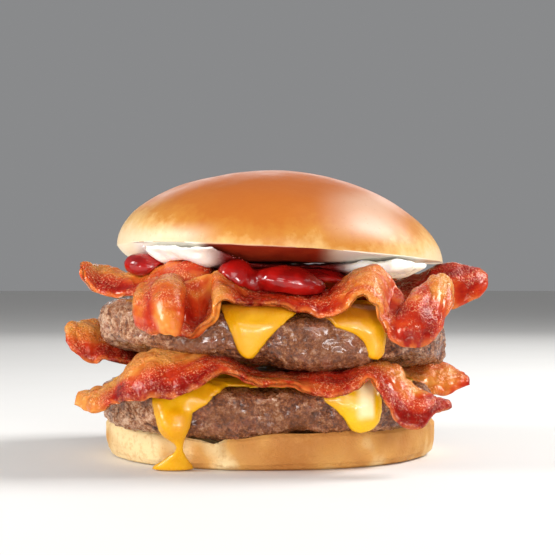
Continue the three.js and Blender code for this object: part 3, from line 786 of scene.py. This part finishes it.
class Finish:
    """A node material, with short names for the nodes it is made of. Sizes are in millimetres."""

    def __init__(self, name, **sockets):
        self.material = bpy.data.materials.new(name)
        self.material.use_nodes = True
        self.nodes = self.material.node_tree.nodes
        self.links = self.material.node_tree.links
        self.shader = self.nodes["Principled BSDF"]
        self.set(**sockets)
        scaled = self.nodes.new("ShaderNodeVectorMath")
        scaled.operation = "SCALE"
        scaled.inputs["Scale"].default_value = 1 / MM
        coordinates = self.nodes.new("ShaderNodeTexCoord")
        self.links.new(coordinates.outputs["Object"], scaled.inputs[0])
        self.place = scaled.outputs[0]

    def put(self, value, socket):
        if isinstance(value, bpy.types.NodeSocket):
            self.links.new(value, socket)
        else:
            socket.default_value = value

    def set(self, **sockets):
        """Sets or links inputs of the shader, with _ for each space in their names."""
        for name, value in sockets.items():
            self.put(value, self.shader.inputs[name.replace("_", " ")])

    def field(self, name):
        node = self.nodes.new("ShaderNodeAttribute")
        node.attribute_name = name
        return node.outputs["Fac"]

    def axis(self, name):
        node = self.nodes.new("ShaderNodeSeparateXYZ")
        self.links.new(self.place, node.inputs[0])
        return node.outputs["xyz".index(name)]

    def vector(self, x, y, z):
        node = self.nodes.new("ShaderNodeCombineXYZ")
        for value, socket in zip((x, y, z), node.inputs):
            self.put(value, socket)
        return node.outputs[0]

    def noise(self, size, detail=3.0, rough=0.55, place=None):
        """Noise from 0 to 1 with features of about this size."""
        node = self.nodes.new("ShaderNodeTexNoise")
        self.put(place or self.place, node.inputs["Vector"])
        node.inputs["Scale"].default_value = 1 / size
        node.inputs["Detail"].default_value = detail
        node.inputs["Roughness"].default_value = rough
        return node.outputs["Fac"]

    def shifted(self, distance):
        """The place moved along all three axes, for a second noise of its own."""
        node = self.nodes.new("ShaderNodeVectorMath")
        node.operation = "ADD"
        self.links.new(self.place, node.inputs[0])
        node.inputs[1].default_value = (distance, distance, distance)
        return node.outputs[0]

    def maths(self, operation, a, b):
        node = self.nodes.new("ShaderNodeMath")
        node.operation = operation
        self.put(a, node.inputs[0])
        self.put(b, node.inputs[1])
        return node.outputs[0]

    def minus(self, a, b):
        return self.maths("SUBTRACT", a, b)

    def total(self, *values):
        return functools.reduce(lambda a, b: self.maths("ADD", a, b), values)

    def product(self, *values):
        return functools.reduce(lambda a, b: self.maths("MULTIPLY", a, b), values)

    def swing(self, noise, amount):
        """The noise centred on 0, times an amount."""
        return self.product(self.minus(noise, 0.5), amount)

    def span(self, value, low, high, to_low=0.0, to_high=1.0):
        """A smooth step, from to_low where the value is low to to_high where it is high."""
        node = self.nodes.new("ShaderNodeMapRange")
        node.interpolation_type = "SMOOTHSTEP"
        for socket, number in zip(
            ("Value", "From Min", "From Max", "To Min", "To Max"),
            (value, low, high, to_low, to_high),
        ):
            self.put(number, node.inputs[socket])
        return node.outputs["Result"]

    def patch(self, **limits):
        """1 inside soft limits by axis: (0 here, 1 here) or (0 here, 1 here, 1 here, 0 here)."""
        spans = []
        for axis, ends in limits.items():
            spans.append(self.span(self.axis(axis), ends[0], ends[1]))
            if len(ends) == 4:
                spans.append(self.span(self.axis(axis), ends[3], ends[2]))
        return self.product(*spans)

    def ramp(self, value, stops):
        node = self.nodes.new("ShaderNodeValToRGB")
        elements = node.color_ramp.elements
        while len(elements) < len(stops):
            elements.new(0.5)
        for element, (position, colour) in zip(elements, stops):
            element.position = position
            element.color = linear(colour)
        self.put(value, node.inputs[0])
        return node.outputs["Color"]

    def mix(self, share, a, b):
        node = self.nodes.new("ShaderNodeMix")
        node.data_type = "RGBA"
        self.put(share, node.inputs[0])
        for value, socket in ((a, node.inputs[6]), (b, node.inputs[7])):
            self.put(linear(value) if isinstance(value, str) else value, socket)
        return node.outputs[2]

    def stain(self, base, colour, amount, *shares):
        """A colour over the base, as strong as the amount times the shares."""
        return self.mix(self.product(*shares, amount), base, colour)

    def bump(self, height, depth, strength):
        node = self.nodes.new("ShaderNodeBump")
        node.inputs["Strength"].default_value = strength
        node.inputs["Distance"].default_value = depth * MM
        self.links.new(height, node.inputs["Height"])
        self.set(Normal=node.outputs[0])


def crust_finish():
    """A glazed crust: brown above, golden with drips lower down, painted highlights as pale patches
    on the front, and sauced bread underneath.
    """
    f = Finish("crust", Specular_IOR_Level=0.14, Coat_Weight=0.16, Coat_Roughness=0.3)
    x, y, z = (f.axis(name) for name in "xyz")
    tall = f.vector(f.product(x, 0.22), f.product(y, 0.22), f.product(z, 0.05))
    drift = f.swing(f.noise(26, 2), 16)
    drips = f.swing(f.noise(1, 3, 0.5, tall), 5)
    mottling = f.swing(f.noise(2.4, 3), 7)
    paler = f.total(f.span(x, -12, -50, 0, 15), f.span(x, 28, 60, 0, 5))
    browned_height = f.minus(f.total(z, drift, drips, mottling), paler)
    stops = [
        (0.0, "dfc49c"),
        (0.14, "d4a868"),
        (0.32, "be7c32"),
        (0.58, "b46624"),
        (1.0, "ae5c20"),
    ]
    colour = f.ramp(f.span(browned_height, 57, 92), stops)
    # Pale patches on the front at the right and at the left: painted highlights, in the base colour
    right_painted_highlight = f.patch(x=(12, 32, 34, 47), y=(0, -16), z=(68, 76, 82, 90))
    colour = f.stain(colour, "e6cdb6", 0.48, right_painted_highlight)
    left_painted_highlight = f.patch(x=(-52, -40, -26, -12), y=(0, -16), z=(66, 70, 72, 77))
    colour = f.stain(colour, "e2cbb0", 0.45, left_painted_highlight)
    colour = f.stain(colour, "a85824", 0.3, f.span(f.noise(1.4, 2), 0.62, 0.78))

    under = f.field("under")
    colour = f.mix(under, colour, "f3e2be")
    uneven = f.span(f.noise(4, 3), 0.05, 0.25)
    red_smear = f.product(f.patch(y=(4, -10), x=(-25, -18, 14, 24)), under, uneven)
    colour = f.mix(red_smear, colour, f.mix(f.noise(5, 2), "74120f", "a83c1a"))
    both_sides = f.total(f.patch(x=(17, 25, 46, 53)), f.patch(x=(-46, -40, -24, -18)))
    white_smear = f.product(f.patch(y=(-18, -30)), under, both_sides)
    f.set(Base_Color=f.mix(white_smear, colour, "f8f3e8"))
    f.set(Roughness=f.span(f.noise(8, 3), 0.3, 0.75, 0.34, 0.46))
    f.bump(f.noise(1.1, 4, 0.6), 0.1, 0.5)
    return f.material


def bread_finish():
    """The heel: toasted and mottled, paler at the left."""
    f = Finish(
        "bread",
        Specular_IOR_Level=0.3,
        Subsurface_Weight=0.08,
        Subsurface_Radius=(0.003, 0.0018, 0.0008),
        Subsurface_Scale=1.0,
    )
    x = f.axis("x")
    paler = f.total(f.span(x, -40, -18, 0.26, 0), f.span(x, 10, 40, 0, 0.1))
    toasted = f.span(f.minus(f.noise(24, 2), paler), 0.26, 0.58)
    colour = f.ramp(toasted, [(0.0, "e4c894"), (0.45, "c8924c"), (1.0, "b07234")])
    colour = f.stain(colour, "b9793a", 0.35, f.span(f.noise(1.3, 2), 0.64, 0.76))
    colour = f.stain(colour, "bd8344", 0.4, f.span(f.noise(2.2, 4, 0.6), 0.48, 0.66))
    f.set(Base_Color=colour)
    f.set(Roughness=f.span(f.noise(5, 3), 0.3, 0.7, 0.6, 0.85))
    f.bump(f.noise(0.9, 4, 0.65), 0.6, 0.8)
    return f.material


def beef_finish():
    """Beef: crumbs from dark to pale, painted shade in the creases, paler towards its left end as
    painted light, browner and glossier where it is seared.
    """
    f = Finish("beef", Specular_IOR_Level=0.42, Coat_Roughness=0.06)
    x = f.axis("x")
    seared = f.field("seared")
    tone = f.total(
        f.product(f.field("crumb"), 0.2),
        f.product(f.noise(1, 3, 0.75), 1.1),
        f.product(f.noise(4.5, 4, 0.6), 0.6),
        # Painted light: the tone is raised towards the left end and a little towards the right end
        f.span(x, -24, -46, -0.345, -0.18),
        f.span(x, 34, 52, 0, 0.04),
    )
    stops = [
        (0.4, "2e140a"),
        (0.5, "5c2e18"),
        (0.6, "7e4424"),
        (0.7, "9e6238"),
        (0.92, "d8b090"),
    ]
    colour = f.stain(f.ramp(tone, stops), "74401e", 0.7, seared)
    colour = f.stain(colour, "a4543c", 0.22, f.span(f.noise(6, 3), 0.52, 0.68))
    # Painted shade: near-black brown in the creases between crumbs
    f.set(Base_Color=f.mix(f.field("creases"), "33150a", colour))
    dry = f.minus(f.noise(1.8, 3), f.product(seared, 0.12))
    f.set(Roughness=f.span(dry, 0.36, 0.6, 0.08, 0.42))
    grease_gloss_and_painted_shade = f.span(f.noise(6, 2), 0.42, 0.62, 0.05, 0.5)
    f.set(Coat_Weight=f.total(grease_gloss_and_painted_shade, f.product(seared, 0.3)))
    f.bump(f.noise(0.55, 3, 0.7), 0.7, 1)
    return f.material


def cheese_finish():
    """Cheese: browned by painted shade under the upper strips and on its upper left corner, with a
    painted highlight on the lower slice's right lobe, and dull where bacon or beef covers it.
    """
    f = Finish(
        "cheese",
        Coat_Roughness=0.08,
        Subsurface_Weight=0.2,
        Subsurface_Radius=(0.0025, 0.0013, 0.0004),
        Subsurface_Scale=1.0,
    )
    colour = f.mix(f.span(f.noise(9, 2), 0.35, 0.65), "d29006", "dca00e")
    # Painted shade: darker brown-orange high on the front, under the upper strips, reaching lower
    # towards the right
    height = f.total(f.axis("z"), f.span(f.axis("x"), 6, 18, 0, 3))
    grease_gloss_and_painted_shade = f.product(f.span(height, 46.5, 51), f.patch(y=(-36, -43)))
    colour = f.stain(colour, "9c5014", 0.75, grease_gloss_and_painted_shade)
    # Painted shade: the upper left front corner of the slice is darkened
    left_corner_shade = f.patch(x=(-34, -39), y=(-12, -24), z=(47, 50))
    colour = f.stain(colour, "7a3a14", 0.8, left_corner_shade)
    right_lobe = f.patch(x=(14, 25), y=(-38, -44), z=(33, 26))
    colour = f.stain(colour, "e4b60e", 0.7, right_lobe)
    # A painted highlight: a pale streak on the lower slice's right lobe, in the base colour
    lobe_painted_highlight = f.patch(x=(25.5, 28.5, 31, 32.5), y=(-38, -44), z=(15, 18, 26, 29))
    f.set(Base_Color=f.stain(colour, "fbf4d0", 0.6, lobe_painted_highlight))
    f.set(Roughness=f.span(f.noise(3, 3), 0.35, 0.65, 0.22, 0.36))
    covered = f.field("covered")
    f.set(Specular_IOR_Level=f.minus(0.26, f.product(covered, 0.24)))
    f.set(Coat_Weight=f.minus(0.25, f.product(covered, 0.25)))
    f.bump(f.noise(1.8, 3), 0.12, 0.4)
    return f.material


def bacon_finish():
    """Bacon: deep red meat to orange fat, with fibres, blisters with pale specks that are painted
    glints, and pits.
    """
    f = Finish(
        "bacon",
        Specular_IOR_Level=0.3,
        Specular_Tint=(1, 0.7, 0.5, 1),
        Coat_Weight=0.12,
        Coat_Roughness=0.05,
        Subsurface_Weight=0.25,
        Subsurface_Radius=(0.003, 0.001, 0.0004),
        Subsurface_Scale=1.0,
    )
    fat = f.field("fat")
    length = f.product(f.field("along"), 0.25)
    along = f.vector(length, f.field("across"), f.product(f.axis("z"), 0.05))
    fibre = f.swing(f.noise(1.1, 3, 0.5, along), 0.25)
    blotch = f.swing(f.noise(6, 3), 0.8)
    stops = [
        (0.0, "760a05"),
        (0.2, "92150a"),
        (0.42, "b03012"),
        (0.6, "bc4e1e"),
        (0.8, "c46c26"),
        (1.0, "ce883e"),
    ]
    colour = f.ramp(f.total(fat, fibre, blotch), stops)
    upward = f.span(f.field("up"), -0.1, 0.7, 0, 0.16)
    blistered = f.span(f.total(f.noise(7, 2), upward), 0.54, 0.68)
    # Pale specks on the blisters: painted glints
    painted_glint_specks = f.product(f.span(f.noise(0.55, 1), 0.54, 0.68), blistered)
    colour = f.stain(colour, "efb080", 0.55, painted_glint_specks, f.span(fat, 0.05, 0.45, 0.3, 1))
    pits = f.product(f.span(f.noise(0.8, 2, 0.5, f.shifted(9)), 0.56, 0.7), blistered)
    colour = f.stain(colour, "86180c", 0.4, pits, f.span(fat, 0.6, 0.25))
    fried_edge = f.product(f.field("edge"), f.span(f.noise(3, 2), 0.35, 0.6))
    f.set(Base_Color=f.stain(colour, "e08a3c", 0.45, fried_edge))
    f.set(Roughness=f.span(f.noise(2.4, 3), 0.35, 0.68, 0.1, 0.3))
    f.bump(f.product(f.noise(0.8, 2, 0.5), f.total(blistered, 0.08)), 0.5, 1)
    return f.material


def ketchup_finish():
    f = Finish("ketchup", Specular_IOR_Level=0.4, Coat_Weight=0.3, Coat_Roughness=0.05)
    f.set(Base_Color=f.mix(f.span(f.noise(6, 2), 0.35, 0.65), "7c0807", "a0100c"))
    f.set(Roughness=f.span(f.noise(2.4, 2), 0.35, 0.65, 0.12, 0.24))
    f.bump(f.noise(2.5, 2), 0.2, 0.35)
    return f.material


def mayonnaise_finish():
    """Mayonnaise, dark red between its front beads: a ketchup stain that is also painted shade of
    the hollow there.
    """
    f = Finish(
        "mayonnaise",
        Specular_IOR_Level=0.45,
        Subsurface_Weight=0.5,
        Subsurface_Radius=(0.002, 0.0018, 0.0012),
        Subsurface_Scale=1.0,
    )
    white = f.mix(f.span(f.noise(7, 2), 0.3, 0.7), "fefcf6", "faf5e8")
    # Dark red between the front beads: a ketchup stain, darkened as painted shade of the hollow
    # under the crown
    ketchup_stain_and_shade = f.patch(x=(-22, -13, 20, 30), y=(36, 26))
    f.set(Base_Color=f.mix(ketchup_stain_and_shade, white, "6a1410"))
    f.set(Roughness=f.span(f.noise(3, 2), 0.35, 0.65, 0.25, 0.4))
    f.bump(f.noise(1.8, 3), 0.25, 0.5)
    return f.material


# Assembly


def dress(piece, material, node):
    piece.data.materials.append(material)
    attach(piece, "root")
    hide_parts(node)


beef = beef_finish()
cheese = cheese_finish()
bacon = bacon_finish()
dress(make_crown(), crust_finish(), "bun_crown")
dress(make_heel(), bread_finish(), "bun_heel")
dress(make_patty("lower_patty", LOWER_PATTY), beef, "patty_lower")
dress(make_patty("upper_patty", UPPER_PATTY), beef, "patty_upper")
for name, node, seed, ridges in (
    ("lower_cheese", "cheese_lower", 2, []),
    ("upper_cheese", "cheese_upper", 5, UPPER_CHEESE_RIDGES),
):
    dress(make_cheese(name, node, seed, ridges), cheese, node)
for name, node, stations, seed, tones in (
    ("lower_front_strip", "bacon_lower_front", LOWER_FRONT, 1, LOWER_FRONT_TONES),
    ("lower_middle_strip", "bacon_lower_middle", LOWER_MIDDLE, 2, LOWER_MIDDLE_TONES),
    ("lower_back_strip", "bacon_lower_back", back_stations(**LOWER_BACK), 3, BACK_TONES),
    ("upper_front_strip", "bacon_upper_front", UPPER_FRONT, 4, UPPER_FRONT_TONES),
    ("upper_middle_strip", "bacon_upper_middle", UPPER_MIDDLE, 5, UPPER_MIDDLE_TONES),
    ("upper_back_strip", "bacon_upper_back", back_stations(**UPPER_BACK), 6, BACK_TONES),
):
    dress(make_strip(name, stations, seed, tones), bacon, node)
for name, node, shape, finish in (
    ("ketchup_sauce", "ketchup", KETCHUP, ketchup_finish),
    ("mayonnaise_sauce", "mayonnaise", MAYONNAISE, mayonnaise_finish),
):
    dress(make_sauce(name, node, **shape), finish(), node)


# Floor, light and camera


def make_floor():
    mesh = bpy.data.meshes.new("floor")
    corners = [(FLOOR_HALF * x, FLOOR_HALF * y, 0) for x, y in ((-1, -1), (1, -1), (1, 1), (-1, 1))]
    mesh.from_pydata(corners, [], [(0, 1, 2, 3)])
    floor = new_object("floor", mesh)
    f = Finish("floor", Roughness=0.7, Specular_IOR_Level=0.2)
    f.set(Base_Color=f.mix(f.noise(60, 2), "e6e4e0", "eae8e5"))
    mesh.materials.append(f.material)


def add_softbox(name, place, size, power):
    light = bpy.data.lights.new(name, "AREA")
    light.shape = "RECTANGLE"
    light.size, light.size_y = size
    light.energy = power
    lamp = bpy.data.objects.new(name, light)
    bpy.context.scene.collection.objects.link(lamp)
    lamp.location = place
    aim = Vector(LIGHT_AIM) - Vector(place)
    lamp.rotation_euler = aim.to_track_quat("-Z", "Y").to_euler()


def add_light():
    world = bpy.data.worlds.new("studio")
    bpy.context.scene.world = world
    world.use_nodes = True
    background = world.node_tree.nodes["Background"]
    background.inputs["Color"].default_value = WORLD_COLOUR
    background.inputs["Strength"].default_value = WORLD_STRENGTH
    for name, box in SOFTBOXES.items():
        add_softbox(name, *box)
    bpy.context.scene.view_settings.view_transform = "Standard"


def add_camera():
    camera = bpy.data.cameras.new("camera")
    camera.sensor_width = SENSOR
    camera.lens = SENSOR * FOCAL_PIXELS / IMAGE_PIXELS
    viewer = bpy.data.objects.new("camera", camera)
    bpy.context.scene.collection.objects.link(viewer)
    viewer.location = (CAMERA_X * MM, -CAMERA_DISTANCE * MM, CAMERA_HEIGHT * MM)
    viewer.rotation_euler = (math.pi / 2, 0, 0)
    bpy.context.scene.camera = viewer


make_floor()
add_light()
add_camera()
